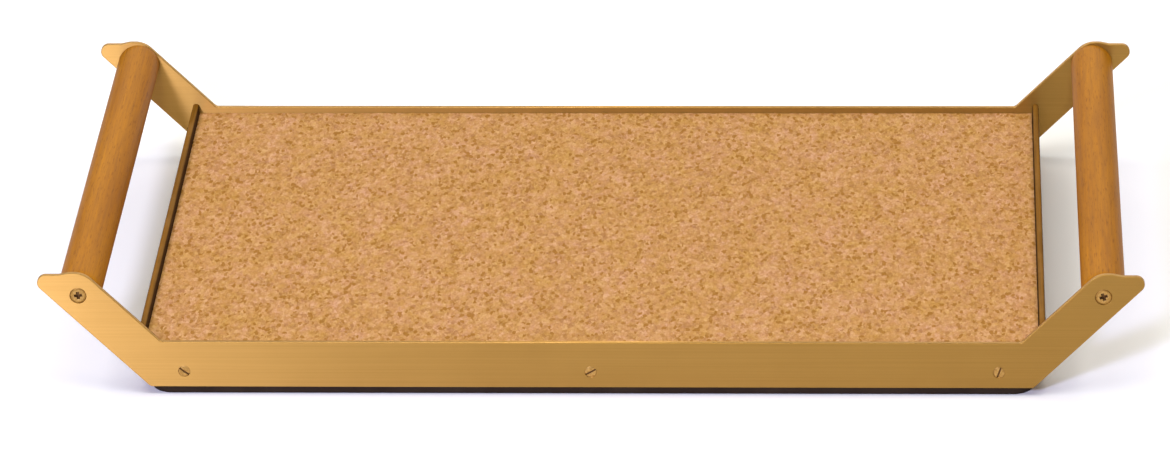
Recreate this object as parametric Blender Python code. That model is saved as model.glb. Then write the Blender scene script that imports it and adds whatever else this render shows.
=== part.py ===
"""Cork-faced carrying board: brass-coloured side rails, turned wooden handles, rubber underside.

Frame: X along the board, Y from front to rear, Z up. The origin is the centre of the
rubber mat's underside, which is the face that the board rests on. Lengths are in metres.
"""
import math

import bmesh
import bpy
from mathutils import Matrix, Vector

# ---------------------------------------------------------------- driving dimensions
FIT_GAP = 0.0003             # clearance between pieces that touch

# Side rails: one flat plate at the front and one at the rear, turned up at both ends
OVERALL_WIDTH = 0.350        # over the rails' outer faces
RAIL_THICKNESS = 0.003
RAIL_BASE_LENGTH = 0.500     # straight lower edge
RAIL_HEIGHT = 0.0275         # straight band between the arms
ARM_WIDTH = 0.0245           # square across the arm, which rises at 45 degrees
SHOULDER_TOP = 0.0698        # highest point of the arm, over the handle
TIP_TOP = 0.0686             # flat top of the arm's end
SHOULDER_RUN = 0.0086        # level length between the shoulder's two corners
TIP_RAMP = 0.0055            # length of the step down from shoulder to tip
FOOT_RADIUS = 0.003
TIP_RADIUS = 0.0048
RAMP_FOOT_RADIUS = 0.006
SHOULDER_RADIUS = 0.014
INNER_CORNER_RADIUS = 0.0035
RAIL_ARRIS = 0.00025         # chamfer around the plate's outline

# Deck: rubber mat, plywood board, cork sheet
MAT_THICKNESS = 0.0045
MAT_INSET = 0.002            # from the rails' outer faces
MAT_CORNER_RADIUS = 0.012
BOARD_LENGTH = 0.5058
BOARD_THICKNESS = 0.018
BOARD_ARRIS = 0.002
CORK_THICKNESS = 0.0060
CORK_ARRIS = 0.0004

# End trims: hardwood strips on the board's two ends, standing above the cork
TRIM_THICKNESS = 0.0038
TRIM_BOTTOM = 0.008          # above the rails' lower edge
TRIM_TOP = 0.0300            # above the rails' lower edge
TRIM_TOP_RADIUS = 0.0014
TRIM_FOOT_RADIUS = 0.0008

# Handles: one dowel between the arms at each end
HANDLE_DIAMETER = 0.025
HANDLE_HEIGHT = 0.0562       # dowel axis above the rails' lower edge
HANDLE_ARRIS = 0.0006

# Screws: diameter of the head, of the shank, and lengths along the axis
HANDLE_SCREW_HEAD = 0.0092
HANDLE_SCREW_SHANK = 0.0048
HANDLE_SCREW_LENGTH = 0.038
RAIL_SCREW_HEAD = 0.0066
RAIL_SCREW_SHANK = 0.0035
RAIL_SCREW_LENGTH = 0.026
HEAD_LAND = 0.0003           # straight rim above the 90-degree cone
POINT_LENGTH_RATIO = 1.2     # screw point's length over the shank's diameter
SCREW_SINK = 0.00015         # heads sit this far below the rail's face
CROSS_SPAN = 0.0050
CROSS_WIDTH = 0.0013
CROSS_DEPTH = 0.0022
CROSS_TAPER = 0.55           # span at the recess's floor over the span at its mouth
SLOT_WIDTH = 0.0010
SLOT_DEPTH = 0.0011

RAIL_SCREW_SPACING = 0.2305  # between neighbours along a rail
RAIL_SCREW_HEIGHT = 0.0095   # near the middle of the board's thickness
RAIL_SCREW_TURNS = {"front": (-37.0, 30.0, 70.0), "rear": (12.0, -52.0, 84.0)}
HANDLE_SCREW_TURNS = {"front": (8.0, 20.0), "rear": (35.0, -12.0)}

# Facets
ROUND_SEGMENTS = 24          # screws and their holes
HANDLE_SEGMENTS = 48
PILOT_SEGMENTS = 12
ARC_STEP = math.radians(13.0)
SHARP_ANGLE = math.radians(30.0)

# ---------------------------------------------------------------- derived dimensions
HALF_WIDTH = OVERALL_WIDTH / 2
RAIL_INNER_Y = HALF_WIDTH - RAIL_THICKNESS
BASE_Z = MAT_THICKNESS + FIT_GAP            # rails' lower edge and board's underside
BOARD_TOP_Z = BASE_Z + BOARD_THICKNESS
CORK_BOTTOM_Z = BOARD_TOP_Z + FIT_GAP
DECK_HALF_WIDTH = RAIL_INNER_Y - FIT_GAP
ARM_UPPER_LINE = RAIL_BASE_LENGTH / 2 - ARM_WIDTH * math.sqrt(2.0)   # x - z along the edge
ARM_CENTRE_LINE = RAIL_BASE_LENGTH / 2 - ARM_WIDTH / math.sqrt(2.0)  # x - z along the axis
HANDLE_X = ARM_CENTRE_LINE + HANDLE_HEIGHT
HANDLE_Z = BASE_Z + HANDLE_HEIGHT
RAIL_SCREW_Z = BASE_Z + RAIL_SCREW_HEIGHT
TRIM_INNER_X = BOARD_LENGTH / 2 + FIT_GAP

SIDES = {"front": -1, "rear": 1}
ENDS = {"left": -1, "right": 1}


# ---------------------------------------------------------------- outlines
def rounded_outline(corners):
    """Closed outline through corners (u, v, radius), with each corner turned into an arc."""
    outline = []
    count = len(corners)
    for index, (u, v, radius) in enumerate(corners):
        corner = Vector((u, v))
        before = (Vector(corners[index - 1][:2]) - corner).normalized()
        after = (Vector(corners[(index + 1) % count][:2]) - corner).normalized()
        half_angle = before.angle(after) / 2
        centre = corner + (before + after).normalized() * radius / math.sin(half_angle)
        start = corner + before * radius / math.tan(half_angle) - centre
        sweep = start.angle_signed(corner + after * radius / math.tan(half_angle) - centre)
        steps = max(2, math.ceil(abs(sweep) / ARC_STEP))
        for step in range(steps + 1):
            turn = Matrix.Rotation(-sweep * step / steps, 2)
            outline.append(centre + turn @ start)
    return outline


def rail_outline():
    """Rail seen from the front, lower edge at v = 0: a low band with an arm at each end."""
    half = [
        (RAIL_BASE_LENGTH / 2, 0.0, FOOT_RADIUS),
        (RAIL_BASE_LENGTH / 2 + TIP_TOP, TIP_TOP, TIP_RADIUS),
        (ARM_UPPER_LINE + SHOULDER_TOP + SHOULDER_RUN + TIP_RAMP, TIP_TOP, RAMP_FOOT_RADIUS),
        (ARM_UPPER_LINE + SHOULDER_TOP + SHOULDER_RUN, SHOULDER_TOP, SHOULDER_RADIUS),
        (ARM_UPPER_LINE + SHOULDER_TOP, SHOULDER_TOP, SHOULDER_RADIUS),
        (ARM_UPPER_LINE + RAIL_HEIGHT, RAIL_HEIGHT, INNER_CORNER_RADIUS),
    ]
    mirrored = [(-u, v, radius) for u, v, radius in reversed(half)]
    return rounded_outline(half + mirrored)


def rectangle(u_low, u_high, v_low, v_high, low_radius, high_radius):
    """Corners of a rectangle whose lower and upper pairs have their own radii."""
    return [
        (u_low, v_low, low_radius),
        (u_high, v_low, low_radius),
        (u_high, v_high, high_radius),
        (u_low, v_high, high_radius),
    ]


# ---------------------------------------------------------------- mesh builders
def finish_mesh(name, shape):
    """Turn a bmesh into a mesh whose faces point out and whose round faces shade smooth."""
    bmesh.ops.recalc_face_normals(shape, faces=shape.faces)
    mesh = bpy.data.meshes.new(name)
    shape.to_mesh(mesh)
    shape.free()
    mesh.shade_smooth()
    mesh.set_sharp_from_angle(angle=SHARP_ANGLE)
    return mesh


def extruded_mesh(name, outline, place, depth, arris):
    """Prism over an outline; place maps (u, v) to its first face, depth is the extrusion."""
    shape = bmesh.new()
    verts = [shape.verts.new(place(point.x, point.y)) for point in outline]
    first = shape.faces.new(verts)
    swept = bmesh.ops.extrude_face_region(shape, geom=[first])
    moved = [item for item in swept["geom"] if isinstance(item, bmesh.types.BMVert)]
    bmesh.ops.translate(shape, verts=moved, vec=depth)
    if arris > 0.0:
        caps = [face for face in shape.faces if len(face.verts) == len(outline)]
        rim = {edge for face in caps for edge in face.edges}
        bmesh.ops.bevel(shape, geom=list(rim), offset=arris, segments=1, affect="EDGES")
    return finish_mesh(name, shape)


def turned_mesh(name, profile, segments):
    """Body turned about Z from (radius, height) points, which start and end on the axis."""
    shape = bmesh.new()
    rings = []
    for radius, height in profile:
        if radius == 0.0:
            rings.append([shape.verts.new((0.0, 0.0, height))])
            continue
        ring = []
        for index in range(segments):
            angle = 2 * math.pi * index / segments
            ring.append(shape.verts.new((radius * math.cos(angle), radius * math.sin(angle), height)))
        rings.append(ring)
    for lower, upper in zip(rings, rings[1:]):
        for index in range(segments):
            following = (index + 1) % segments
            if len(lower) == 1:
                shape.faces.new((lower[0], upper[index], upper[following]))
            elif len(upper) == 1:
                shape.faces.new((lower[index], lower[following], upper[0]))
            else:
                shape.faces.new((lower[index], lower[following], upper[following], upper[index]))
    return finish_mesh(name, shape)


def add_object(name, mesh, material=None):
    piece = bpy.data.objects.new(name, mesh)
    bpy.context.collection.objects.link(piece)
    if material is not None and not mesh.materials:
        mesh.materials.append(material)
    return piece


def add_cutter(name, mesh):
    cutter = add_object(name, mesh)
    cutter.hide_render = True
    cutter.display_type = "WIRE"
    return cutter


def cut(piece, cutter):
    modifier = piece.modifiers.new("cut_" + cutter.name, "BOOLEAN")
    modifier.operation = "DIFFERENCE"
    modifier.solver = "EXACT"
    modifier.object = cutter


def joined_copies(name, mesh, placements):
    """One mesh holding a copy of another at each placement."""
    shape = bmesh.new()
    for placement in placements:
        copy = mesh.copy()
        copy.transform(placement)
        shape.from_mesh(copy)
        bpy.data.meshes.remove(copy)
    return finish_mesh(name, shape)


def material(name, colour, roughness, metallic):
    surface = bpy.data.materials.new(name)
    surface.use_nodes = True
    shader = surface.node_tree.nodes["Principled BSDF"]
    shader.inputs["Base Color"].default_value = (*colour, 1.0)
    shader.inputs["Roughness"].default_value = roughness
    shader.inputs["Metallic"].default_value = metallic
    return surface


# ---------------------------------------------------------------- placing screws
def into_side(side, x, z, sink):
    """Placement that points local -Z from a rail's outer face into the board or handle."""
    outward = SIDES[side]
    face = Vector((x, outward * (HALF_WIDTH - sink), z))
    upright = Matrix.Rotation(math.radians(-90.0 * outward), 4, "X")
    return Matrix.Translation(face) @ upright


def handle_screw_places():
    """(name, side, x, z, turn in degrees) of the four screws in the dowels' ends."""
    places = []
    for side, turns in HANDLE_SCREW_TURNS.items():
        for (end, way), turn in zip(ENDS.items(), turns):
            places.append((f"handle_screw_{side}_{end}", side, way * HANDLE_X, HANDLE_Z, turn))
    return places


def rail_screw_places():
    """(name, side, x, z, turn in degrees) of the six screws in the board's edges."""
    places = []
    for side, turns in RAIL_SCREW_TURNS.items():
        for step, (spot, turn) in enumerate(zip(("left", "middle", "right"), turns)):
            x = (step - 1) * RAIL_SCREW_SPACING
            places.append((f"rail_screw_{side}_{spot}", side, x, RAIL_SCREW_Z, turn))
    return places


# ---------------------------------------------------------------- screws and their holes
def screw_mesh(name, head, shank, length, recess_outline, recess_depth, floor_scale):
    """Countersunk screw, head at Z = 0 and point down, with a recess sunk into its head."""
    cone = (head - shank) / 2
    point_length = shank * POINT_LENGTH_RATIO
    profile = [
        (0.0, 0.0),
        (head / 2, 0.0),
        (head / 2, -HEAD_LAND),
        (shank / 2, -HEAD_LAND - cone),
        (shank / 2, point_length - length),
        (0.0, -length),
    ]
    blank = add_object(name + "_blank", turned_mesh(name + "_blank", profile, ROUND_SEGMENTS))
    tool = bmesh.new()
    mouth = [tool.verts.new((point.x, point.y, recess_depth)) for point in recess_outline]
    widening = 2.0 - floor_scale
    for vert in mouth:
        vert.co.x *= widening
        vert.co.y *= widening
    floor = [
        tool.verts.new((point.x * floor_scale, point.y * floor_scale, -recess_depth))
        for point in recess_outline
    ]
    tool.faces.new(mouth)
    tool.faces.new(list(reversed(floor)))
    for index, top in enumerate(mouth):
        following = (index + 1) % len(mouth)
        tool.faces.new((top, floor[index], floor[following], mouth[following]))
    driver = add_cutter(name + "_driver", finish_mesh(name + "_driver", tool))
    cut(blank, driver)
    bpy.context.view_layer.update()
    evaluated = blank.evaluated_get(bpy.context.evaluated_depsgraph_get())
    mesh = bpy.data.meshes.new_from_object(evaluated)
    mesh.name = name
    bpy.data.objects.remove(blank)
    bpy.data.objects.remove(driver)
    return mesh


def cross_outline():
    """Plus sign for the cross-recess driver."""
    reach = CROSS_SPAN / 2
    half = CROSS_WIDTH / 2
    arm = [(half, half), (reach, half), (reach, -half)]
    outline = []
    for quarter in range(4):
        turn = Matrix.Rotation(math.radians(90.0 * quarter), 2)
        outline.extend(turn @ Vector(point) for point in reversed(arm))
    return outline


def slot_outline(head):
    """Straight slot that runs out past the head on both sides."""
    corners = [(-1, -1), (1, -1), (1, 1), (-1, 1)]
    return [Vector((u * head, v * SLOT_WIDTH / 2)) for u, v in corners]


def countersink_mesh(name, head, shank, depth):
    """Cutter for a countersunk clearance hole that enters at Z = 0."""
    clear_head = head / 2 + FIT_GAP
    clear_shank = shank / 2 + FIT_GAP
    land = HEAD_LAND + SCREW_SINK + FIT_GAP / 2
    profile = [
        (0.0, RAIL_THICKNESS),
        (clear_head, RAIL_THICKNESS),
        (clear_head, -land),
        (clear_shank, -land - (clear_head - clear_shank)),
        (clear_shank, -depth),
        (0.0, -depth),
    ]
    return turned_mesh(name, profile, ROUND_SEGMENTS)


# ---------------------------------------------------------------- pieces
def build_rails(brass):
    through = 2 * RAIL_THICKNESS
    handle_hole = countersink_mesh("handle_hole", HANDLE_SCREW_HEAD, HANDLE_SCREW_SHANK, through)
    rail_hole = countersink_mesh("rail_hole", RAIL_SCREW_HEAD, RAIL_SCREW_SHANK, through)
    for side, outward in SIDES.items():
        first_y = outward * HALF_WIDTH
        mesh = extruded_mesh(
            side + "_rail",
            rail_outline(),
            lambda u, v, y=first_y: (u, y, BASE_Z + v),
            (0.0, -outward * RAIL_THICKNESS, 0.0),
            RAIL_ARRIS,
        )
        rail = add_object(side + "_rail", mesh, brass)
        for hole, places in ((handle_hole, handle_screw_places()), (rail_hole, rail_screw_places())):
            spots = [into_side(side, x, z, 0.0) for _, at, x, z, _ in places if at == side]
            holes = joined_copies(f"{side}_{hole.name}s", hole, spots)
            cut(rail, add_cutter(holes.name, holes))


def build_handles(wood):
    half = DECK_HALF_WIDTH
    bore = HANDLE_SCREW_SHANK / 2 + FIT_GAP
    bore_end = HALF_WIDTH - HANDLE_SCREW_LENGTH - SCREW_SINK - FIT_GAP
    radius = HANDLE_DIAMETER / 2
    profile = [
        (0.0, bore_end),
        (bore, bore_end),
        (bore, half),
        (radius - HANDLE_ARRIS, half),
        (radius, half - HANDLE_ARRIS),
    ]
    profile += [(r, -height) for r, height in reversed(profile)]
    mesh = turned_mesh("handle", profile, HANDLE_SEGMENTS)
    for end, way in ENDS.items():
        handle = add_object(end + "_handle", mesh, wood)
        handle.location = (way * HANDLE_X, 0.0, HANDLE_Z)
        handle.rotation_euler = (math.radians(90.0), 0.0, 0.0)


def build_deck(rubber, plywood, cork):
    mat_half_length = RAIL_BASE_LENGTH / 2
    mat_half_width = HALF_WIDTH - MAT_INSET
    mat = rounded_outline(rectangle(
        -mat_half_length, mat_half_length, -mat_half_width, mat_half_width,
        MAT_CORNER_RADIUS, MAT_CORNER_RADIUS,
    ))
    mesh = extruded_mesh("rubber_mat", mat, lambda u, v: (u, v, 0.0), (0.0, 0.0, MAT_THICKNESS), 0.0)
    add_object("rubber_mat", mesh, rubber)

    half_length = BOARD_LENGTH / 2
    board = [
        (-half_length + BOARD_ARRIS, BASE_Z),
        (half_length - BOARD_ARRIS, BASE_Z),
        (half_length, BASE_Z + BOARD_ARRIS),
        (half_length, BOARD_TOP_Z),
        (-half_length, BOARD_TOP_Z),
        (-half_length, BASE_Z + BOARD_ARRIS),
    ]
    mesh = extruded_mesh(
        "deck_board",
        [Vector(point) for point in board],
        lambda u, v: (u, -DECK_HALF_WIDTH, v),
        (0.0, 2 * DECK_HALF_WIDTH, 0.0),
        0.0,
    )
    deck_board = add_object("deck_board", mesh, plywood)
    pilot_radius = RAIL_SCREW_SHANK / 2 + FIT_GAP
    pilot_end = -(RAIL_SCREW_LENGTH + SCREW_SINK + FIT_GAP)
    profile = [(0.0, 0.0), (pilot_radius, 0.0), (pilot_radius, pilot_end), (0.0, pilot_end)]
    pilot = turned_mesh("pilot_hole", profile, PILOT_SEGMENTS)
    spots = [into_side(side, x, z, 0.0) for _, side, x, z, _ in rail_screw_places()]
    cut(deck_board, add_cutter("board_pilot_holes", joined_copies("board_pilot_holes", pilot, spots)))

    sheet = [
        Vector((u * half_length, v * DECK_HALF_WIDTH))
        for u, v in ((-1, -1), (1, -1), (1, 1), (-1, 1))
    ]
    mesh = extruded_mesh(
        "cork_sheet", sheet, lambda u, v: (u, v, CORK_BOTTOM_Z), (0.0, 0.0, CORK_THICKNESS), CORK_ARRIS
    )
    add_object("cork_sheet", mesh, cork)


def build_end_trims(wood):
    for end, way in ENDS.items():
        inner = way * TRIM_INNER_X
        outer = way * (TRIM_INNER_X + TRIM_THICKNESS)
        section = rounded_outline(rectangle(
            min(inner, outer), max(inner, outer), BASE_Z + TRIM_BOTTOM, BASE_Z + TRIM_TOP,
            TRIM_FOOT_RADIUS, TRIM_TOP_RADIUS,
        ))
        mesh = extruded_mesh(
            end + "_end_trim",
            section,
            lambda u, v: (u, -DECK_HALF_WIDTH, v),
            (0.0, 2 * DECK_HALF_WIDTH, 0.0),
            0.0,
        )
        add_object(end + "_end_trim", mesh, wood)


def build_screws(brass):
    handle_screw = screw_mesh(
        "handle_screw", HANDLE_SCREW_HEAD, HANDLE_SCREW_SHANK, HANDLE_SCREW_LENGTH,
        cross_outline(), CROSS_DEPTH, CROSS_TAPER,
    )
    rail_screw = screw_mesh(
        "rail_screw", RAIL_SCREW_HEAD, RAIL_SCREW_SHANK, RAIL_SCREW_LENGTH,
        slot_outline(RAIL_SCREW_HEAD), SLOT_DEPTH, 1.0,
    )
    for mesh, places in ((handle_screw, handle_screw_places()), (rail_screw, rail_screw_places())):
        for name, side, x, z, turn in places:
            screw = add_object(name, mesh, brass)
            turned = Matrix.Rotation(math.radians(turn), 4, "Z")
            screw.matrix_world = into_side(side, x, z, SCREW_SINK) @ turned


def main():
    for leftover in list(bpy.data.objects):
        bpy.data.objects.remove(leftover)
    rail_brass = material("rail_brass", (0.56, 0.34, 0.12), 0.32, 1.0)
    screw_brass = material("screw_brass", (0.62, 0.42, 0.16), 0.28, 1.0)
    varnished_wood = material("varnished_wood", (0.50, 0.21, 0.04), 0.35, 0.0)
    dark_wood = material("dark_wood", (0.16, 0.08, 0.03), 0.45, 0.0)
    cork = material("cork", (0.66, 0.34, 0.13), 0.9, 0.0)
    plywood = material("plywood", (0.62, 0.44, 0.26), 0.7, 0.0)
    rubber = material("black_rubber", (0.02, 0.018, 0.016), 0.75, 0.0)
    build_deck(rubber, plywood, cork)
    build_rails(rail_brass)
    build_end_trims(dark_wood)
    build_handles(varnished_wood)
    build_screws(screw_brass)


main()
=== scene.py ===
"""Looks for the cork-faced carrying board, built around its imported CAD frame.

Row frame: X along the board, Y from front to rear, Z up, in metres. Pieces take their places
from the CAD nodes' boxes.
"""
import math
from collections import namedtuple

import bmesh
import bpy
from mathutils import Matrix, Vector, noise


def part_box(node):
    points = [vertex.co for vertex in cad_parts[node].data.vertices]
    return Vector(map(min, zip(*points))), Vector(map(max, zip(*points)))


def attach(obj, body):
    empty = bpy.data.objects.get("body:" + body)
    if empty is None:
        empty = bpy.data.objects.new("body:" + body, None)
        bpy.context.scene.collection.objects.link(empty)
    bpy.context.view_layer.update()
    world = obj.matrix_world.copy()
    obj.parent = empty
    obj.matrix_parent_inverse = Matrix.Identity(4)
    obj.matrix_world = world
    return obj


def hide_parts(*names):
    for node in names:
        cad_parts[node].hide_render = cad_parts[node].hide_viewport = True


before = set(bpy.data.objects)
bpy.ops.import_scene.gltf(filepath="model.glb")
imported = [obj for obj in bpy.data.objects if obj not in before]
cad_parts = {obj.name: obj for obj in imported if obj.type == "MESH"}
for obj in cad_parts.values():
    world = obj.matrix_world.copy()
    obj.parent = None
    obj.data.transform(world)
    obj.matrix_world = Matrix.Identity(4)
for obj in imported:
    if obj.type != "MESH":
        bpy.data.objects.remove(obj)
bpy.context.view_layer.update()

MM = 0.001
SIDES = {"front": -1, "rear": 1}
ENDS = ("left", "right")

# ---------------------------------------------------------------- sizes that the boxes don't give
RAIL_BASE_LENGTH = 500 * MM
ARM_WIDTH = 24.5 * MM
RAIL_HEIGHT = 27.5 * MM
SHOULDER_TOP = 69.8 * MM
TIP_TOP = 68.6 * MM
SHOULDER_RUN = 8.6 * MM
TIP_RAMP = 5.5 * MM
FOOT_RADIUS = 3 * MM
TIP_RADIUS = 4.8 * MM
RAMP_FOOT_RADIUS = 6 * MM
SHOULDER_RADIUS = 14 * MM
INNER_CORNER_RADIUS = 3.5 * MM
RAIL_EDGE = 0.35 * MM
ARM_UPPER_LINE = RAIL_BASE_LENGTH / 2 - ARM_WIDTH * math.sqrt(2.0)

# head: diameter; hole_gap: clearance round it; hole_rim: the hole's broken edge; rounding: the
# head's edge; crown: how far the head's middle stands above its edge
ScrewKind = namedtuple("ScrewKind", "head is_cross recess_depth hole_gap hole_rim rounding crown")
HANDLE_SCREW = ScrewKind(
    head=9.2 * MM, is_cross=True, recess_depth=2.2 * MM,
    hole_gap=0.10 * MM, hole_rim=0.12 * MM, rounding=0.60 * MM, crown=0.0,
)
RAIL_SCREW = ScrewKind(
    head=6.6 * MM, is_cross=False, recess_depth=0.8 * MM,
    hole_gap=0.05 * MM, hole_rim=0.08 * MM, rounding=0.25 * MM, crown=0.18 * MM,
)
HEAD_SINK = 0.15 * MM           # below the rail's face
HEAD_LAND = 0.3 * MM            # upright band between the rounding and the cone
SHANK_RATIO = 0.5               # shank to head
POINT_START = 0.86              # share of the screw's length
CROWN_SHOULDER = (0.55, 0.75)   # shares of the head's radius and of the crown's height
CROWN_SKIRT = 0.30              # share of the crown's height where the ring of painted shade starts
ROUNDING_MIDDLE = (0.3, 0.18)   # shares of the rounding, inward and down
# Width of the ring of painted shade round a cross head's rim; every head's profile has an edge there.
RIM_SHADE_WIDTH = 1.1 * MM
RECESS_EDGE = 0.06 * MM
RECESS_START = 0.06 * MM        # painted shade begins this far below the head's face
RECESS_MARGIN = 0.1 * MM        # past the recess's floor, so that the floor counts as inside
RECESS_REACH = 0.98             # share of the recess's length that counts as inside
CROSS_SPAN = 5.0 * MM
CROSS_WIDTH = 1.9 * MM
CROSS_MOUTH = 0.5 * MM          # height of the cutter's wide end above the head
CROSS_TAPER = 0.6               # floor to mouth
SLOT_WIDTH = 1.0 * MM
SLOT_LENGTH_RATIO = 1.4         # cutter's length to the head, so that the slot runs right across
CUTTER_OVERRUN = 2 * MM         # how far a cutter stands out of the face that it cuts
COUNTERSINK_DEPTH = 8 * MM      # past the rail's inner face
WELD_DISTANCE = 0.002 * MM
HEAD_SEGMENTS = 64
RECESS_SHADE_SLOT, RIM_SHADE_SLOT = 1, 2  # of a screw's materials: painted shade in the recess, and a ring of painted shade round the head's rim; 0 is its bare brass
HANDLE_TURNS = {"front": (8.0, 20.0), "rear": (35.0, -12.0)}
RAIL_TURNS = {"front": (-37.0, 30.0, 70.0), "rear": (12.0, -52.0, 84.0)}
RAIL_PLACES = ("left", "middle", "right")

HANDLE_SEGMENTS = 96
HANDLE_RINGS = 60
HANDLE_EDGE = 0.6 * MM
HANDLE_WANDER = 0.12 * MM
WANDER_AROUND = 1.5             # noise per radius
WANDER_ALONG = 22.0             # noise per metre
WANDER_SHIFT = 9.0              # keeps the two dowels from being alike
BORE_RADIUS = 2.7 * MM
BORE_GAP = 0.3 * MM             # past the screw's point

CORK_CELL = 1.6 * MM
CORK_RELIEF = 0.09 * MM
CORK_RELIEF_SCALE = 420.0       # noise per metre
CORK_EDGE = 0.5 * MM
CORK_EDGE_SCALE = 260.0         # noise per metre
CORK_EDGE_LAYER = 3.0           # depth in the noise, away from the relief's
MAT_CORNER = 12 * MM
MAT_EDGE = 0.5 * MM
TRIM_TOP_RADIUS = 1.5 * MM
TRIM_FOOT_RADIUS = 0.8 * MM
TRIM_EDGE = 0.25 * MM

# ---------------------------------------------------------------- how meshes are made and shaded
ARC_STEP = math.radians(4.0)
SHARP_DEGREES = 35.0
DOWEL_SHARP_DEGREES = 50.0
CORK_SHARP_DEGREES = 60.0
BEVEL_DEGREES = 40.0
NORMAL_WEIGHT = 100             # flat faces take all, narrow edge faces carry the turn

# The Mix node's colour sockets, which share their names with its sockets of other kinds.
MIX_FACTOR, MIX_FIRST, MIX_SECOND, MIX_RESULT = 0, 6, 7, 2

# ---------------------------------------------------------------- camera
CAMERA_AT = Vector((0.1924, -3.9400, 1.7364))
CAMERA_ELEVATION = math.radians(23.409)
CAMERA_YAW = math.radians(2.949)
CAMERA_ROLL = math.radians(-1.109)
SENSOR_MM = 36.0
LENS_MM = 225.6

# ---------------------------------------------------------------- light, in watts and metres
WARM_WHITE = (1.0, 0.985, 0.93)
COOL_WHITE = (0.96, 1.02, 1.60)
AMBIENT_STRENGTH = 0.25
FLOOR_HALF_SIZE = 20.0
FLOOR_CELLS = 8
Softbox = namedtuple("Softbox", "name at towards width height watts tint")
SOFTBOXES = (
    Softbox("key", (-0.86, -2.30, 1.25), (0.0, 0.0, 0.03), 0.3, 0.4, 36.0, COOL_WHITE),
    Softbox("top", (0.0, -0.2, 2.6), (0.0, 0.0, 0.0), 3.2, 2.4, 76.0, WARM_WHITE),
    Softbox("back", (0.0, 2.6, 1.1), (0.0, 0.0, 0.0), 3.0, 1.0, 20.0, WARM_WHITE),
)


# ---------------------------------------------------------------- node helpers
class Shader:
    """A Principled material and short calls that add nodes to it.

    Scales of noise and cells are counts per metre, and bump depths are metres.
    """

    def __init__(self, name, roughness, metallic=0.0, specular=0.5):
        self.material = bpy.data.materials.new(name)
        self.material.use_nodes = True
        self.tree = self.material.node_tree
        self.surface = self.tree.nodes["Principled BSDF"]
        self.surface.inputs["Roughness"].default_value = roughness
        self.surface.inputs["Metallic"].default_value = metallic
        self.surface.inputs["Specular IOR Level"].default_value = specular

    def node(self, kind, **settings):
        """A new node with its properties set."""
        made = self.tree.nodes.new(kind)
        for key, value in settings.items():
            setattr(made, key, value)
        return made

    def link(self, source, target):
        self.tree.links.new(source, target)

    def place(self, stretch=(1.0, 1.0, 1.0)):
        """Row-frame position in metres, stretched, so that patterns have real sizes."""
        coordinates = self.node("ShaderNodeTexCoord")
        mapping = self.node("ShaderNodeMapping")
        mapping.inputs["Scale"].default_value = stretch
        self.link(coordinates.outputs["Object"], mapping.inputs["Vector"])
        return mapping.outputs["Vector"]

    def noise(self, vector, scale, detail=3.0, roughness=0.5):
        made = self.node("ShaderNodeTexNoise")
        made.inputs["Scale"].default_value = scale
        made.inputs["Detail"].default_value = detail
        made.inputs["Roughness"].default_value = roughness
        self.link(vector, made.inputs["Vector"])
        return made.outputs["Fac"]

    def cells(self, vector, scale, output="Color", feature="F1"):
        """Cells that each have a colour of their own, or the distance to their borders."""
        made = self.node("ShaderNodeTexVoronoi", feature=feature)
        made.inputs["Scale"].default_value = scale
        self.link(vector, made.inputs["Vector"])
        return made.outputs[output]

    def warped(self, vector, scale, amount):
        """The same place pushed about by noise, for ragged borders."""
        made = self.node("ShaderNodeTexNoise")
        made.inputs["Scale"].default_value = scale
        made.inputs["Detail"].default_value = 3.0
        self.link(vector, made.inputs["Vector"])
        centred = self.node("ShaderNodeVectorMath", operation="SUBTRACT")
        centred.inputs[1].default_value = (0.5, 0.5, 0.5)
        self.link(made.outputs["Color"], centred.inputs[0])
        sized = self.node("ShaderNodeVectorMath", operation="SCALE")
        sized.inputs["Scale"].default_value = amount
        self.link(centred.outputs["Vector"], sized.inputs[0])
        moved = self.node("ShaderNodeVectorMath", operation="ADD")
        self.link(vector, moved.inputs[0])
        self.link(sized.outputs["Vector"], moved.inputs[1])
        return moved.outputs["Vector"]

    def ramp(self, factor, stops):
        """Colours or greys at places along a factor."""
        made = self.node("ShaderNodeValToRGB")
        points = made.color_ramp.elements
        while len(points) < len(stops):
            points.new(0.5)
        for point, (place, value) in zip(points, stops):
            point.position = place
            point.color = (value, value, value, 1.0) if isinstance(value, float) else (*value, 1.0)
        self.link(factor, made.inputs["Fac"])
        return made.outputs["Color"]

    def mix(self, factor, first, second, blend="MIX"):
        """Two colours blended; each value is a number, a colour or another node's output."""
        made = self.node("ShaderNodeMix", data_type="RGBA", blend_type=blend)
        for value, index in ((factor, MIX_FACTOR), (first, MIX_FIRST), (second, MIX_SECOND)):
            socket = made.inputs[index]
            if isinstance(value, float):
                socket.default_value = value
            elif isinstance(value, tuple):
                socket.default_value = (*value, 1.0)
            else:
                self.link(value, socket)
        return made.outputs[MIX_RESULT]

    def spread(self, factor, low, high):
        """A factor from 0 to 1 turned into a number from low to high."""
        made = self.node("ShaderNodeMapRange")
        made.inputs["To Min"].default_value = low
        made.inputs["To Max"].default_value = high
        self.link(factor, made.inputs["Value"])
        return made.outputs["Result"]

    def split(self, colour):
        """The red, green and blue of a colour, by name."""
        made = self.node("ShaderNodeSeparateColor")
        self.link(colour, made.inputs["Color"])
        return made.outputs

    def colour(self, source):
        self.link(source, self.surface.inputs["Base Color"])

    def roughness(self, source):
        self.link(source, self.surface.inputs["Roughness"])

    def bump(self, *layers):
        """Relief from (height, depth in metres) layers, one over another."""
        below = None
        for height, depth in layers:
            made = self.node("ShaderNodeBump")
            made.inputs["Strength"].default_value = 1.0
            made.inputs["Distance"].default_value = depth
            self.link(height, made.inputs["Height"])
            if below is not None:
                self.link(below, made.inputs["Normal"])
            below = made.outputs["Normal"]
        self.link(below, self.surface.inputs["Normal"])


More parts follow.
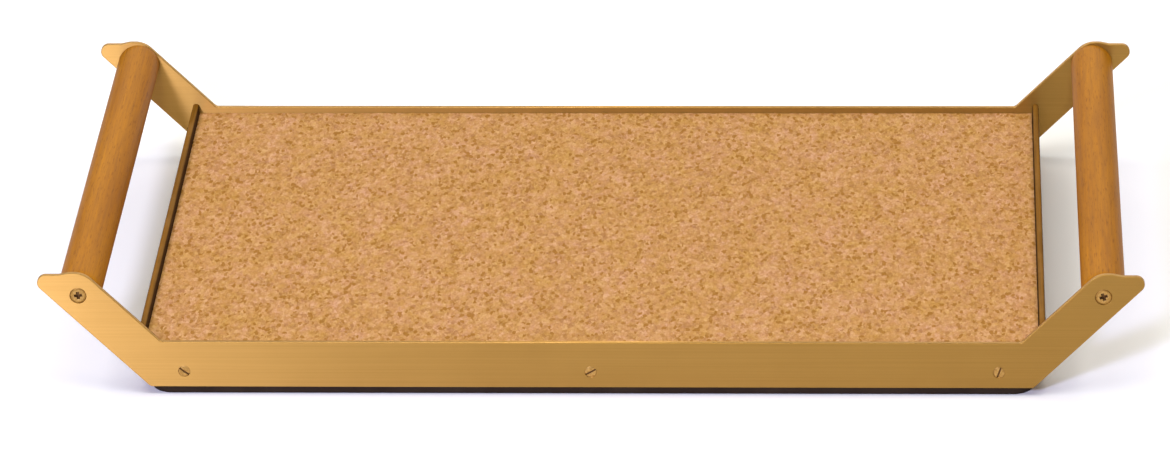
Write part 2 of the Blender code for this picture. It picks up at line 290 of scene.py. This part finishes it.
# ---------------------------------------------------------------- materials
def brushed_brass():
    """Sheet brushed along its length: long fine lines, and a faint cloudiness from handling.

    The lines spread light across themselves, so reflections stretch upright and stay crisp sideways.
    """
    shader = Shader("brushed_brass", 0.46, 1.0)
    shader.surface.inputs["Anisotropic"].default_value = 1.0
    shader.surface.inputs["Anisotropic Rotation"].default_value = 0.25
    tangent = shader.node("ShaderNodeTangent", direction_type="RADIAL", axis="Z")
    shader.link(tangent.outputs["Tangent"], shader.surface.inputs["Tangent"])
    fine = shader.noise(shader.place((7.0, 60.0, 2600.0)), 1.0, 3.0, 0.6)
    broad = shader.noise(shader.place((3.5, 40.0, 800.0)), 1.0, 2.0, 0.5)
    clouds = shader.noise(shader.place(), 14.0, 3.0, 0.5)
    lines = shader.mix(0.30, fine, broad)
    tone = shader.ramp(lines, [(0.30, (0.530, 0.287, 0.066)), (0.70, (0.610, 0.341, 0.086))])
    worn = shader.ramp(clouds, [(0.35, (0.95, 0.94, 0.92)), (0.65, (1.0, 1.0, 1.0))])
    shader.colour(shader.mix(1.0, tone, worn, "MULTIPLY"))
    shader.roughness(shader.spread(lines, 0.42, 0.50))
    shader.bump((fine, 0.003 * MM), (broad, 0.004 * MM))
    return shader.material


def screw_brass():
    """Machined brass, unevenly tarnished."""
    shader = Shader("turned_brass", 0.34, 1.0)
    grime = shader.noise(shader.place(), 900.0, 4.0, 0.6)
    shader.colour(shader.ramp(grime, [(0.30, (0.33, 0.17, 0.040)), (0.62, (0.52, 0.30, 0.090))]))
    shader.roughness(shader.spread(grime, 0.28, 0.46))
    shader.bump((grime, 0.02 * MM))
    return shader.material


def painted_recess_shade():
    """Dark brown painted shade for the screws' recesses, where shade falls."""
    shader = Shader("painted_recess_shade", 0.60, 0.5)
    patches = shader.noise(shader.place(), 1400.0, 3.0, 0.6)
    shader.colour(shader.ramp(patches, [(0.30, (0.130, 0.055, 0.010)), (0.70, (0.260, 0.125, 0.028))]))
    shader.roughness(shader.spread(patches, 0.50, 0.75))
    return shader.material


def painted_rim_shade():
    """Brown ring of painted shade round the heads' edges, where the head meets its countersunk hole."""
    shader = Shader("painted_rim_shade", 0.46, 1.0)
    rim_shade = shader.noise(shader.place(), 1100.0, 3.0, 0.6)
    shader.colour(shader.ramp(rim_shade, [(0.30, (0.270, 0.135, 0.026)), (0.70, (0.460, 0.250, 0.062))]))
    shader.roughness(shader.spread(rim_shade, 0.40, 0.56))
    return shader.material


def varnished_wood():
    """Fine-pored hardwood: short dark flecks and soft bands along the dowel, under matt varnish."""
    shader = Shader("varnished_wood", 0.52, specular=0.07)
    bands = shader.noise(shader.place((95.0, 6.0, 95.0)), 1.0, 3.0, 0.5)
    grain = shader.noise(shader.place((900.0, 26.0, 900.0)), 1.0, 4.0, 0.6)
    flecks = shader.noise(shader.place((1500.0, 130.0, 1500.0)), 1.0, 2.0, 0.5)
    base = shader.ramp(bands, [(0.32, (0.355, 0.128, 0.003)), (0.68, (0.443, 0.172, 0.005))])
    streaks = shader.ramp(grain, [(0.32, (0.80, 0.76, 0.70)), (0.66, (1.06, 1.05, 1.04))])
    grained = shader.mix(1.0, base, streaks, "MULTIPLY")
    pores = shader.ramp(flecks, [(0.30, (0.62, 0.54, 0.44)), (0.42, (1.0, 1.0, 1.0))])
    shader.colour(shader.mix(0.8, grained, pores, "MULTIPLY"))
    shader.roughness(shader.spread(grain, 0.42, 0.58))
    shader.bump((grain, 0.03 * MM), (flecks, 0.03 * MM))
    return shader.material


def dark_wood():
    """Dark stained strip with lengthwise grain: faces that point up are painted paler as lit, with random
    rubbed patches, and upright faces painted darker as shaded.
    """
    shader = Shader("dark_wood", 0.58, specular=0.04)
    grain = shader.noise(shader.place((700.0, 18.0, 700.0)), 1.0, 4.0, 0.6)
    rubbed = shader.noise(shader.place((60.0, 40.0, 60.0)), 1.0, 3.0, 0.6)
    # Painted shade for upright faces, and painted light for faces that point up; the tops also carry
    # random rubbed patches.
    shaded_sides = shader.ramp(grain, [(0.30, (0.026, 0.010, 0.003)), (0.70, (0.070, 0.030, 0.008))])
    tops = shader.ramp(grain, [(0.30, (0.135, 0.056, 0.004)), (0.70, (0.240, 0.100, 0.008))])
    worn = shader.mix(shader.ramp(rubbed, [(0.45, 0.0), (0.75, 0.5)]), tops, (0.280, 0.140, 0.030))
    # Mask from the normal that picks the painted-light tone for faces that point up.
    geometry = shader.node("ShaderNodeNewGeometry")
    facing = shader.node("ShaderNodeSeparateXYZ")
    shader.link(geometry.outputs["Normal"], facing.inputs["Vector"])
    lit_top_mask = shader.ramp(facing.outputs["Z"], [(0.35, 0.0), (0.80, 1.0)])
    shader.colour(shader.mix(lit_top_mask, shaded_sides, worn))
    shader.roughness(shader.spread(grain, 0.50, 0.66))
    shader.bump((grain, 0.08 * MM))
    return shader.material


def cork():
    """Pressed granules of about 1 to 4 mm in tan, ochre and pinkish tones, with small brown specks.

    They are drawn longer from front to rear than they are wide, to look round at the photo's flat angle.
    """
    shader = Shader("cork", 0.88, specular=0.25)
    place = shader.place((1.05, 0.54, 1.0))
    ragged = shader.warped(place, 700.0, 1.3 * MM)
    granules = shader.split(shader.cells(ragged, 430.0))
    crumbs = shader.split(shader.cells(ragged, 760.0))
    tone = shader.ramp(granules["Red"], [
        (0.00, (0.332, 0.144, 0.043)),
        (0.18, (0.414, 0.198, 0.051)),
        (0.42, (0.480, 0.232, 0.063)),
        (0.62, (0.496, 0.249, 0.088)),
        (0.82, (0.546, 0.284, 0.116)),
        (1.00, (0.613, 0.338, 0.147)),
    ])
    crumb_tone = shader.ramp(crumbs["Green"], [
        (0.00, (0.355, 0.160, 0.043)),
        (0.50, (0.489, 0.239, 0.073)),
        (1.00, (0.596, 0.331, 0.133)),
    ])
    body = shader.mix(0.45, tone, crumb_tone)
    speck_seed = shader.split(shader.cells(ragged, 520.0))["Blue"]
    specks = shader.ramp(speck_seed, [(0.81, 0.0), (0.94, 0.82)])
    speckled = shader.mix(specks, body, (0.300, 0.120, 0.005))
    rim = shader.cells(ragged, 400.0, "Distance", "DISTANCE_TO_EDGE")
    seams = shader.ramp(rim, [(0.0, (0.84, 0.80, 0.70)), (0.14, (1.0, 1.0, 1.0))])
    seamed = shader.mix(0.6, speckled, seams, "MULTIPLY")
    clouds = shader.noise(place, 60.0, 3.0, 0.6)
    cloudy = shader.ramp(clouds, [(0.34, (0.97, 0.97, 0.74)), (0.66, (1.03, 1.03, 1.20))])
    clouded = shader.mix(1.0, seamed, cloudy, "MULTIPLY")
    patches = shader.noise(place, 170.0, 2.0, 0.5)
    patchy = shader.ramp(patches, [(0.34, (0.97, 0.98, 0.82)), (0.66, (1.04, 1.03, 1.20))])
    shader.colour(shader.mix(1.0, clouded, patchy, "MULTIPLY"))
    grit = shader.noise(place, 2600.0, 3.0, 0.6)
    shader.roughness(shader.spread(grit, 0.80, 0.95))
    shader.bump((rim, 0.10 * MM), (grit, 0.05 * MM))
    return shader.material


def plywood():
    """Birch plywood: level plies that show as light and dark bands on its cut ends."""
    shader = Shader("plywood", 0.65)
    wave = shader.node("ShaderNodeTexWave", bands_direction="Z")
    wave.inputs["Scale"].default_value = 115.0
    wave.inputs["Distortion"].default_value = 0.6
    shader.link(shader.place(), wave.inputs["Vector"])
    fibres = shader.noise(shader.place((30.0, 30.0, 1400.0)), 1.0, 4.0, 0.6)
    plies = shader.ramp(wave.outputs["Fac"], [(0.30, (0.44, 0.29, 0.155)), (0.60, (0.68, 0.50, 0.31))])
    streaks = shader.ramp(fibres, [(0.30, (0.80, 0.76, 0.70)), (0.70, (1.0, 1.0, 1.0))])
    shader.colour(shader.mix(0.6, plies, streaks, "MULTIPLY"))
    shader.bump((fibres, 0.06 * MM))
    return shader.material


def black_rubber():
    """Matt sheet rubber with a fine pebble and a trace of dust."""
    shader = Shader("black_rubber", 0.78, specular=0.20)
    pebble = shader.noise(shader.place(), 1500.0, 3.0, 0.6)
    dust = shader.noise(shader.place(), 45.0, 4.0, 0.6)
    shader.colour(shader.ramp(dust, [(0.35, (0.022, 0.010, 0.004)), (0.75, (0.036, 0.020, 0.010))]))
    shader.roughness(shader.spread(pebble, 0.70, 0.88))
    shader.bump((pebble, 0.06 * MM))
    return shader.material


def floor_paper():
    """Plain pale studio floor."""
    shader = Shader("floor_paper", 0.9)
    shader.surface.inputs["Base Color"].default_value = (0.95, 0.95, 0.95, 1.0)
    return shader.material


# ---------------------------------------------------------------- mesh helpers
def rounded_outline(corners):
    """Closed outline through corners (u, v, radius), with each corner turned into an arc."""
    outline = []
    count = len(corners)
    for index, (u, v, radius) in enumerate(corners):
        corner = Vector((u, v))
        before = (Vector(corners[index - 1][:2]) - corner).normalized()
        after = (Vector(corners[(index + 1) % count][:2]) - corner).normalized()
        half_angle = before.angle(after) / 2
        centre = corner + (before + after).normalized() * radius / math.sin(half_angle)
        start = corner + before * radius / math.tan(half_angle) - centre
        sweep = start.angle_signed(corner + after * radius / math.tan(half_angle) - centre)
        steps = max(3, math.ceil(abs(sweep) / ARC_STEP))
        for step in range(steps + 1):
            outline.append(centre + Matrix.Rotation(-sweep * step / steps, 2) @ start)
    return outline


def rail_outline():
    """Rail seen from the front, lower edge at v = 0: a low band with an arm at each end."""
    half = [
        (RAIL_BASE_LENGTH / 2, 0.0, FOOT_RADIUS),
        (RAIL_BASE_LENGTH / 2 + TIP_TOP, TIP_TOP, TIP_RADIUS),
        (ARM_UPPER_LINE + SHOULDER_TOP + SHOULDER_RUN + TIP_RAMP, TIP_TOP, RAMP_FOOT_RADIUS),
        (ARM_UPPER_LINE + SHOULDER_TOP + SHOULDER_RUN, SHOULDER_TOP, SHOULDER_RADIUS),
        (ARM_UPPER_LINE + SHOULDER_TOP, SHOULDER_TOP, SHOULDER_RADIUS),
        (ARM_UPPER_LINE + RAIL_HEIGHT, RAIL_HEIGHT, INNER_CORNER_RADIUS),
    ]
    mirrored = [(-u, v, radius) for u, v, radius in reversed(half)]
    return rounded_outline(half + mirrored)


def mesh_from(name, shape, sharp_degrees=SHARP_DEGREES):
    """Mesh with outward faces, smooth except across sharp edges."""
    bmesh.ops.recalc_face_normals(shape, faces=shape.faces)
    mesh = bpy.data.meshes.new(name)
    shape.to_mesh(mesh)
    shape.free()
    mesh.shade_smooth()
    mesh.set_sharp_from_angle(angle=math.radians(sharp_degrees))
    return mesh


def extruded(name, outline, place, depth):
    """Prism over an outline; place maps (u, v) to its first face."""
    shape = bmesh.new()
    first = shape.faces.new([shape.verts.new(place(point.x, point.y)) for point in outline])
    swept = bmesh.ops.extrude_face_region(shape, geom=[first])
    moved = [item for item in swept["geom"] if isinstance(item, bmesh.types.BMVert)]
    bmesh.ops.translate(shape, verts=moved, vec=depth)
    return mesh_from(name, shape)


def turned(name, profile, segments):
    """Body turned about Z from (radius, height) points, which start and end on the axis."""
    shape = bmesh.new()
    angles = [2 * math.pi * index / segments for index in range(segments)]
    rings = []
    for radius, height in profile:
        if radius == 0.0:
            rings.append([shape.verts.new((0.0, 0.0, height))])
            continue
        rings.append([
            shape.verts.new((radius * math.cos(angle), radius * math.sin(angle), height))
            for angle in angles
        ])
    for upper, lower in zip(rings, rings[1:]):
        for index in range(segments):
            following = (index + 1) % segments
            corners = [upper[index % len(upper)], upper[following % len(upper)]]
            corners += [lower[following % len(lower)], lower[index % len(lower)]]
            # A point on the axis is its ring's only corner, so it comes twice, and once is kept.
            shape.faces.new(dict.fromkeys(corners))
    return mesh_from(name, shape)


def link_object(name, mesh):
    made = bpy.data.objects.new(name, mesh)
    bpy.context.scene.collection.objects.link(made)
    return made


def bevelled(target, width, segments=3):
    """Soften the sharp edges and settle the mesh."""
    made = target.modifiers.new("edge", "BEVEL")
    made.width = width
    made.segments = segments
    made.limit_method = "ANGLE"
    made.angle_limit = math.radians(BEVEL_DEGREES)
    made.harden_normals = True
    settle(target)


def subtract(target, mesh):
    """Boolean cut with a mesh that is then thrown away."""
    tool = link_object("tool", mesh)
    made = target.modifiers.new("cut", "BOOLEAN")
    made.operation = "DIFFERENCE"
    made.solver = "EXACT"
    made.object = tool
    settle(target)
    bpy.data.objects.remove(tool)


def settle(target):
    """Apply every modifier, so that the piece holds its final mesh."""
    bpy.context.view_layer.update()
    evaluated = target.evaluated_get(bpy.context.evaluated_depsgraph_get())
    final = bpy.data.meshes.new_from_object(evaluated)
    final.name = target.name
    target.modifiers.clear()
    target.data = final


def weld(target):
    """Close up the slivers that a cut and a bevel leave behind."""
    shape = bmesh.new()
    shape.from_mesh(target.data)
    bmesh.ops.remove_doubles(shape, verts=shape.verts, dist=WELD_DISTANCE)
    bmesh.ops.dissolve_degenerate(shape, edges=shape.edges, dist=WELD_DISTANCE)
    shape.to_mesh(target.data)
    shape.free()


def level_normals(target):
    """Shade flat faces flat, with the turn kept to the narrow faces along the edges."""
    target.data.shade_smooth()
    target.data.set_sharp_from_angle(angle=math.radians(SHARP_DEGREES))
    made = target.modifiers.new("normals", "WEIGHTED_NORMAL")
    made.mode = "FACE_AREA"
    made.weight = NORMAL_WEIGHT
    made.keep_sharp = True
    settle(target)


def stand_for(piece, node, material):
    """Hang a piece on the body, give it its finish, and hide the CAD node that it stands for."""
    piece.data.materials.clear()
    piece.data.materials.append(material)
    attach(piece, "root")
    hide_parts(node)


# ---------------------------------------------------------------- pieces
def head_frame(node, side):
    """Matrix that puts a screw drawn with its head at Z = 0 and its point down into the rail."""
    outward = SIDES[side]
    low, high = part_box(node)
    face_y = low.y if outward < 0 else high.y
    middle = (low + high) / 2
    columns = Matrix((
        (-outward, 0, 0),
        (0, 0, outward),
        (0, 1, 0),
    )).to_4x4()
    return Matrix.Translation((middle.x, face_y, middle.z)) @ columns


def countersink(kind):
    """Cutter for a countersunk hole that enters at Z = 0, with its rim broken."""
    clear = kind.head / 2 + kind.hole_gap
    shank = clear * SHANK_RATIO
    land = HEAD_SINK + HEAD_LAND + kind.rounding / 2
    profile = [
        (0.0, CUTTER_OVERRUN),
        (clear + kind.hole_rim, CUTTER_OVERRUN),
        (clear + kind.hole_rim, 0.0),
        (clear, -kind.hole_rim),
        (clear, -land),
        (shank, -land - (clear - shank)),
        (shank, -COUNTERSINK_DEPTH),
        (0.0, -COUNTERSINK_DEPTH),
    ]
    return turned("countersink", profile, HEAD_SEGMENTS)


def screw_list():
    """(node, side, kind, turn in degrees) of all ten screws."""
    screws = []
    for side in SIDES:
        for end, turn in zip(ENDS, HANDLE_TURNS[side]):
            screws.append((f"handle_screw_{side}_{end}", side, HANDLE_SCREW, turn))
        for place, turn in zip(RAIL_PLACES, RAIL_TURNS[side]):
            screws.append((f"rail_screw_{side}_{place}", side, RAIL_SCREW, turn))
    return screws


def build_rails(material):
    """Plates cut to the outline, edges broken, with a countersunk hole for each screw."""
    for side, outward in SIDES.items():
        node = side + "_rail"
        low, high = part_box(node)
        first = low.y if outward < 0 else high.y
        rail = link_object(node + "_plate", extruded(
            node + "_plate",
            rail_outline(),
            lambda u, v, y=first, z=low.z: (u, y, z + v),
            (0.0, -outward * (high.y - low.y), 0.0),
        ))
        bevelled(rail, RAIL_EDGE)
        for screw, at, kind, _ in screw_list():
            if at != side:
                continue
            cutter = countersink(kind)
            place = head_frame(screw, side)
            place.translation.y = first
            cutter.transform(place)
            cutter.update()
            subtract(rail, cutter)
        level_normals(rail)
        stand_for(rail, node, material)


def cross_recess(depth):
    """Cutter for a cross recess: a cross that narrows towards its flat floor."""
    reach, half = CROSS_SPAN / 2, CROSS_WIDTH / 2
    corners = []
    for quarter in range(4):
        turn = Matrix.Rotation(quarter * math.pi / 2, 2)
        corners += [turn @ Vector(point) for point in ((half, -half), (reach, -half), (reach, half))]
    shape = bmesh.new()
    mouth = [shape.verts.new((c.x, c.y, CROSS_MOUTH)) for c in corners]
    floor = [shape.verts.new((c.x * CROSS_TAPER, c.y * CROSS_TAPER, -depth)) for c in corners]
    shape.faces.new(mouth)
    shape.faces.new(list(reversed(floor)))
    for index, top in enumerate(mouth):
        following = (index + 1) % len(mouth)
        shape.faces.new((top, floor[index], floor[following], mouth[following]))
    return mesh_from("recess", shape)


def slot_recess(head, depth):
    """Cutter for a straight slot right across the head."""
    shape = bmesh.new()
    bmesh.ops.create_cube(shape, size=1.0)
    bmesh.ops.scale(shape, verts=shape.verts, vec=(head * SLOT_LENGTH_RATIO, SLOT_WIDTH, 2 * depth))
    return mesh_from("recess", shape)


def is_inside_recess(point, kind):
    """Whether a face's centre lies below the head's face and within the recess's outline."""
    if not -kind.recess_depth - RECESS_MARGIN < point.z < -RECESS_START:
        return False
    if kind.is_cross:
        width, off_axis, reach = CROSS_WIDTH, min(abs(point.x), abs(point.y)), CROSS_SPAN / 2
    else:
        width, off_axis, reach = SLOT_WIDTH, abs(point.y), kind.head / 2
    return off_axis < width / 2 + RECESS_START and point.xy.length < reach * RECESS_REACH


def screw_profile(kind, length):
    """Half section of a screw, from the middle of its head to its point."""
    radius = kind.head / 2
    shank = radius * SHANK_RATIO
    drop = kind.rounding / 2
    shoulder_reach, shoulder_height = CROWN_SHOULDER
    middle_in, middle_down = ROUNDING_MIDDLE
    return [
        (0.0, kind.crown),
        (radius * shoulder_reach, kind.crown * shoulder_height),
        (radius - RIM_SHADE_WIDTH, kind.crown * CROWN_SKIRT),
        (radius - kind.rounding, 0.0),
        (radius - kind.rounding * middle_in, -kind.rounding * middle_down),
        (radius, -drop),
        (radius, -drop - HEAD_LAND),
        (shank, -drop - HEAD_LAND - (radius - shank)),
        (shank, -length * POINT_START),
        (0.0, -length),
    ]


def build_screws(material, recess_shade, rim_shade):
    """Screws drawn head up at Z = 0, cut, given painted shade in the recess and round the head's rim, and
    then turned into the rails.
    """
    for node, side, kind, turn in screw_list():
        low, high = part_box(node)
        profile = screw_profile(kind, high.y - low.y)
        screw = link_object(node + "_turned", turned(node, profile, HEAD_SEGMENTS))
        if kind.is_cross:
            subtract(screw, cross_recess(kind.recess_depth))
        else:
            subtract(screw, slot_recess(kind.head, kind.recess_depth))
        bevelled(screw, RECESS_EDGE, 2)
        weld(screw)
        level_normals(screw)
        stand_for(screw, node, material)
        screw.data.materials.append(recess_shade)
        screw.data.materials.append(rim_shade)
        # Painted shade: faces down in the recess go dark, and faces on a cross head's rounded rim get a
        # brown ring.
        rim_shade_from = kind.head / 2 - (RIM_SHADE_WIDTH if kind.is_cross else 0.0)
        for face in screw.data.polygons:
            centre = face.center
            if is_inside_recess(centre, kind):
                face.material_index = RECESS_SHADE_SLOT
            elif centre.z > -kind.rounding and centre.xy.length > rim_shade_from:
                face.material_index = RIM_SHADE_SLOT
        screw.data.transform(head_frame(node, side) @ Matrix.Rotation(math.radians(turn), 4, "Z"))
        screw.data.update()


def handle_bore(screw, side):
    """Cutter for the hole that a handle screw sits in."""
    low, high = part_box(screw)
    depth = high.y - low.y + BORE_GAP
    profile = [
        (0.0, CUTTER_OVERRUN),
        (BORE_RADIUS, CUTTER_OVERRUN),
        (BORE_RADIUS, -depth),
        (0.0, -depth),
    ]
    cutter = turned("bore", profile, HEAD_SEGMENTS)
    cutter.transform(head_frame(screw, side))
    cutter.update()
    return cutter


def build_handles(material):
    """Dowels with rounded ends, a trace of unevenness, and a bore in each end."""
    for index, end in enumerate(ENDS):
        node = end + "_handle"
        low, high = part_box(node)
        middle = (low + high) / 2
        radius = (high.z - low.z) / 2
        shape = bmesh.new()
        stations = [low.y, low.y + HANDLE_EDGE / 3, low.y + HANDLE_EDGE]
        inner = high.y - low.y - 2 * HANDLE_EDGE
        stations += [low.y + HANDLE_EDGE + inner * k / HANDLE_RINGS for k in range(1, HANDLE_RINGS)]
        stations += [high.y - HANDLE_EDGE, high.y - HANDLE_EDGE / 3, high.y]
        rings = []
        for y in stations:
            into_edge = max(0.0, HANDLE_EDGE - min(y - low.y, high.y - y))
            inset = HANDLE_EDGE - math.sqrt(max(0.0, HANDLE_EDGE ** 2 - into_edge ** 2))
            ring = []
            for segment in range(HANDLE_SEGMENTS):
                angle = 2 * math.pi * segment / HANDLE_SEGMENTS
                across = Vector((math.cos(angle), math.sin(angle)))
                wander = noise.noise(Vector((
                    across.x * WANDER_AROUND + index * WANDER_SHIFT,
                    y * WANDER_ALONG,
                    across.y * WANDER_AROUND,
                )))
                reach = radius - inset - HANDLE_WANDER * (0.5 + 0.5 * wander)
                ring.append(shape.verts.new((middle.x + across.x * reach, y, middle.z + across.y * reach)))
            rings.append(ring)
        for ring, following in zip(rings, rings[1:]):
            for segment in range(HANDLE_SEGMENTS):
                after = (segment + 1) % HANDLE_SEGMENTS
                shape.faces.new((ring[segment], ring[after], following[after], following[segment]))
        shape.faces.new(rings[0])
        shape.faces.new(rings[-1])
        handle = link_object(node + "_dowel", mesh_from(node + "_dowel", shape, DOWEL_SHARP_DEGREES))
        for side in SIDES:
            subtract(handle, handle_bore(f"handle_screw_{side}_{end}", side))
        weld(handle)
        handle.data.set_sharp_from_angle(angle=math.radians(DOWEL_SHARP_DEGREES))
        stand_for(handle, node, material)


def build_cork(material):
    """Sheet with a crumbly edge and granules standing a little proud of one another."""
    low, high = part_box("cork_sheet")
    columns = round((high.x - low.x) / CORK_CELL)
    rows = round((high.y - low.y) / CORK_CELL)
    shape = bmesh.new()
    grid = []
    for row in range(rows + 1):
        line = []
        for column in range(columns + 1):
            x = low.x + (high.x - low.x) * column / columns
            y = low.y + (high.y - low.y) * row / rows
            edge = min(x - low.x, high.x - x, y - low.y, high.y - y)
            relief = noise.noise(Vector((x, y, 0.0)) * CORK_RELIEF_SCALE)
            chipping = noise.noise(Vector((x, y, CORK_EDGE_LAYER)) * CORK_EDGE_SCALE)
            chipping = max(0.0, chipping) * CORK_EDGE
            fall = chipping + CORK_EDGE * 0.5 if edge < CORK_CELL / 2 else 0.0
            top = high.z - CORK_RELIEF * (0.5 - 0.5 * relief) - fall
            line.append(shape.verts.new((x, y, top)))
        grid.append(line)
    for row in range(rows):
        for column in range(columns):
            shape.faces.new((
                grid[row][column], grid[row][column + 1], grid[row + 1][column + 1], grid[row + 1][column],
            ))
    rim = grid[0] + [line[-1] for line in grid[1:]]
    rim += grid[-1][-2::-1] + [line[0] for line in grid[-2:0:-1]]
    foot = [shape.verts.new((vert.co.x, vert.co.y, low.z)) for vert in rim]
    for index, vert in enumerate(rim):
        following = (index + 1) % len(rim)
        shape.faces.new((vert, foot[index], foot[following], rim[following]))
    shape.faces.new(foot)
    sheet = link_object(
        "cork_sheet_granules", mesh_from("cork_sheet_granules", shape, CORK_SHARP_DEGREES)
    )
    stand_for(sheet, "cork_sheet", material)


def build_trims(material):
    """Strips along the deck's ends, with rounded tops."""
    for end in ENDS:
        node = end + "_end_trim"
        low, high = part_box(node)
        section = rounded_outline([
            (low.x, low.z, TRIM_FOOT_RADIUS),
            (high.x, low.z, TRIM_FOOT_RADIUS),
            (high.x, high.z, TRIM_TOP_RADIUS),
            (low.x, high.z, TRIM_TOP_RADIUS),
        ])
        strip = link_object(node + "_strip", extruded(
            node + "_strip", section, lambda u, v, y=low.y: (u, y, v), (0.0, high.y - low.y, 0.0)
        ))
        bevelled(strip, TRIM_EDGE, 2)
        level_normals(strip)
        stand_for(strip, node, material)


def build_mat(material):
    """Rubber sheet with rounded corners, under the rails."""
    low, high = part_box("rubber_mat")
    outline = rounded_outline([
        (low.x, low.y, MAT_CORNER),
        (high.x, low.y, MAT_CORNER),
        (high.x, high.y, MAT_CORNER),
        (low.x, high.y, MAT_CORNER),
    ])
    mat = link_object("rubber_mat_sheet", extruded(
        "rubber_mat_sheet", outline, lambda u, v: (u, v, low.z), (0.0, 0.0, high.z - low.z)
    ))
    bevelled(mat, MAT_EDGE)
    level_normals(mat)
    stand_for(mat, "rubber_mat", material)


def finish_board(material):
    """Give the CAD node that stays, the core, its material."""
    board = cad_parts["deck_board"]
    board.data.materials.clear()
    board.data.materials.append(material)


# ---------------------------------------------------------------- studio
def build_floor(material):
    shape = bmesh.new()
    bmesh.ops.create_grid(
        shape, x_segments=FLOOR_CELLS, y_segments=FLOOR_CELLS, size=FLOOR_HALF_SIZE
    )
    floor = link_object("studio_floor", mesh_from("studio_floor", shape))
    floor.data.materials.append(material)


def add_softbox(box):
    data = bpy.data.lights.new(box.name, "AREA")
    data.shape = "RECTANGLE"
    data.size = box.width
    data.size_y = box.height
    data.energy = box.watts
    data.color = box.tint
    lamp = link_object(box.name, data)
    lamp.location = box.at
    lamp.rotation_mode = "QUATERNION"
    lamp.rotation_quaternion = (Vector(box.towards) - Vector(box.at)).to_track_quat("-Z", "Y")


def build_light():
    """A small key light whose reflection brightens the brass at the left, and two broad fills."""
    world = bpy.data.worlds.new("studio")
    world.use_nodes = True
    background = world.node_tree.nodes["Background"]
    background.inputs["Color"].default_value = (*WARM_WHITE, 1.0)
    background.inputs["Strength"].default_value = AMBIENT_STRENGTH
    bpy.context.scene.world = world
    for box in SOFTBOXES:
        add_softbox(box)


def set_colour_response():
    """Plain display response, so that saturated wood, cork and brass keep their colour."""
    bpy.context.scene.view_settings.view_transform = "Standard"
    bpy.context.scene.view_settings.look = "None"


def build_camera():
    """The camera solved from the photo."""
    back = Vector((
        math.sin(CAMERA_YAW) * math.cos(CAMERA_ELEVATION),
        -math.cos(CAMERA_YAW) * math.cos(CAMERA_ELEVATION),
        math.sin(CAMERA_ELEVATION),
    ))
    level = Vector((math.cos(CAMERA_YAW), math.sin(CAMERA_YAW), 0.0))
    upright = back.cross(level)
    right = level * math.cos(CAMERA_ROLL) + upright * math.sin(CAMERA_ROLL)
    up = upright * math.cos(CAMERA_ROLL) - level * math.sin(CAMERA_ROLL)
    turn = Matrix((right, up, back)).transposed().to_4x4()
    data = bpy.data.cameras.new("camera")
    data.sensor_width = SENSOR_MM
    data.lens = LENS_MM
    camera = link_object("camera", data)
    camera.matrix_world = Matrix.Translation(CAMERA_AT) @ turn
    bpy.context.scene.camera = camera


brass = brushed_brass()
build_rails(brass)
# The second and third screw materials are painted shade, one for the recesses and one for the heads' rims.
build_screws(screw_brass(), painted_recess_shade(), painted_rim_shade())
build_handles(varnished_wood())
build_cork(cork())
build_trims(dark_wood())
build_mat(black_rubber())
finish_board(plywood())
build_floor(floor_paper())
build_light()
set_colour_response()
build_camera()
